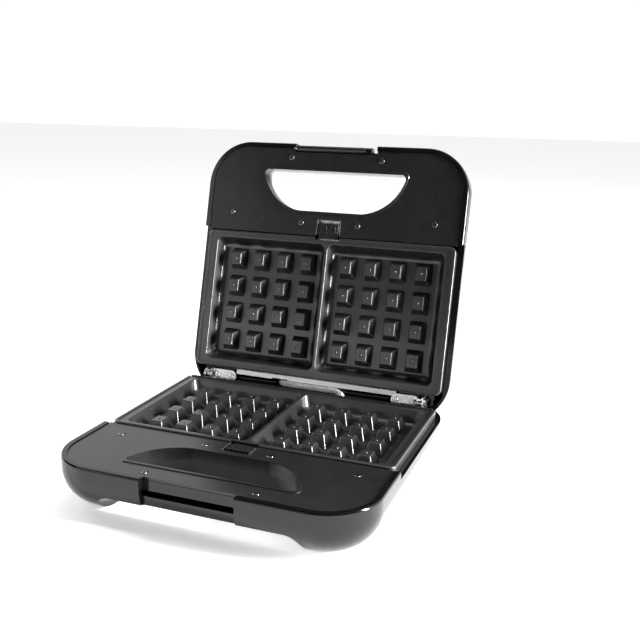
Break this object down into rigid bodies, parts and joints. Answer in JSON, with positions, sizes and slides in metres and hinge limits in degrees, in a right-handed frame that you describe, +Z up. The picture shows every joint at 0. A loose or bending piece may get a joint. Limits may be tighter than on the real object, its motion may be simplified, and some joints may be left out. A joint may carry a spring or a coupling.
{
  "type": "waffle maker",
  "caption": "Flat two-slice waffle maker with lid open, square block plates, D-shaped grip holes in both handle panels, front latch clip and plate release buttons.",
  "frame": {"origin": "centre of the bounding box in plan, on the plane the rubber feet stand on, lid open", "axes": "+X to the user's right, +Y to the hinge side, +Z up"},
  "size_m": [0.256, 0.3192, 0.2609],
  "materials": {
    "gloss_black": "high gloss moulded, black",
    "panel_black": "satin moulded, black",
    "nonstick": "cast aluminium with a dark non-stick coating",
    "bright_sheet": "bright aluminised sheet",
    "zinc": "zinc plated",
    "screw_dark": "blackened",
    "heater_tube": "matte stainless tube",
    "ceramic_white": "white glazed insulator",
    "rubber_black": "moulded",
    "wire_white": "silicone insulation",
    "sleeve_silver": "woven glass and silver yarn",
    "button_black": "moulded",
    "spring_steel": "drawn wire",
    "red_lens": "clear red",
    "green_lens": "clear green",
    "lamp_glass": "clear"
  },
  "bodies": {
    "base": {"base_shell": "gloss_black", "base_handle_panel": "panel_black", "base_panel_screws": "screw_dark", "base_reflector": "bright_sheet", "base_reflector_screws": "zinc", "base_heater": "heater_tube", "base_heater_terminals": "ceramic_white", "base_heater_clips": "bright_sheet", "thermostat": "ceramic_white", "base_thermal_fuse": "wire_white", "terminal_block": "ceramic_white", "base_lead_wires": "wire_white", "cord_gland": "rubber_black", "rubber_feet": "rubber_black", "base_hinge_brackets": "zinc", "base_hinge_screws": "zinc", "hinge_pins": "zinc", "hinge_spacers": "zinc", "base_release_bracket": "zinc", "base_release_spring": "spring_steel", "wire_sleeve": "sleeve_silver"},
    "lid": {"lid_shell": "gloss_black", "lid_handle_panel": "panel_black", "lid_panel_screws": "screw_dark", "lid_reflector": "bright_sheet", "lid_reflector_screws": "zinc", "lid_heater": "heater_tube", "lid_heater_terminals": "ceramic_white", "lid_heater_clips": "bright_sheet", "lid_thermal_fuse": "wire_white", "lid_lead_wires": "wire_white", "lid_hinge_straps": "zinc", "lid_hinge_screws": "zinc", "lid_release_bracket": "zinc", "lid_release_spring": "spring_steel", "latch_pin": "zinc", "power_lens": "red_lens", "ready_lens": "green_lens", "indicator_lamps": "lamp_glass"},
    "lower_plate": {"lower_plate": "nonstick"},
    "upper_plate": {"upper_plate": "nonstick"},
    "base_release": {"base_release_button": "button_black"},
    "lid_release": {"lid_release_button": "button_black"},
    "clip": {"latch_clip": "button_black"}
  },
  "joints": [
    {"name": "lid_hinge", "type": "hinge", "parent": "base", "child": "lid", "pos_m": [0, 0.06735, 0.0425], "axis": [-1, 0, 0], "range_deg": [-105.2, 0], "deforming": ["wire_sleeve"]},
    {"name": "latch_clip_turn", "type": "hinge", "parent": "lid", "child": "clip", "pos_m": [-0.006, 0.12856, 0.25633], "axis": [1, 0, 0], "range_deg": [0, 180]},
    {"name": "base_release_slide", "type": "slide", "parent": "base", "child": "base_release", "axis": [0, -1, 0], "range_m": [0, 0.003], "stiffness_N_per_m": 300, "springref_m": -0.002, "deforming": ["base_release_spring"]},
    {"name": "lid_release_slide", "type": "slide", "parent": "lid", "child": "lid_release", "axis": [0, 0.2622, 0.965], "range_m": [0, 0.003], "stiffness_N_per_m": 300, "springref_m": -0.002, "deforming": ["lid_release_spring"]},
    {"name": "lower_plate_tilt", "type": "hinge", "parent": "base", "child": "lower_plate", "pos_m": [0, 0.06275, 0.0363], "axis": [-1, 0, 0], "range_deg": [0, 12]},
    {"name": "upper_plate_tilt", "type": "hinge", "parent": "lid", "child": "upper_plate", "pos_m": [0, 0.07454, 0.04531], "axis": [1, 0, 0], "range_deg": [0, 12]}
  ]
}
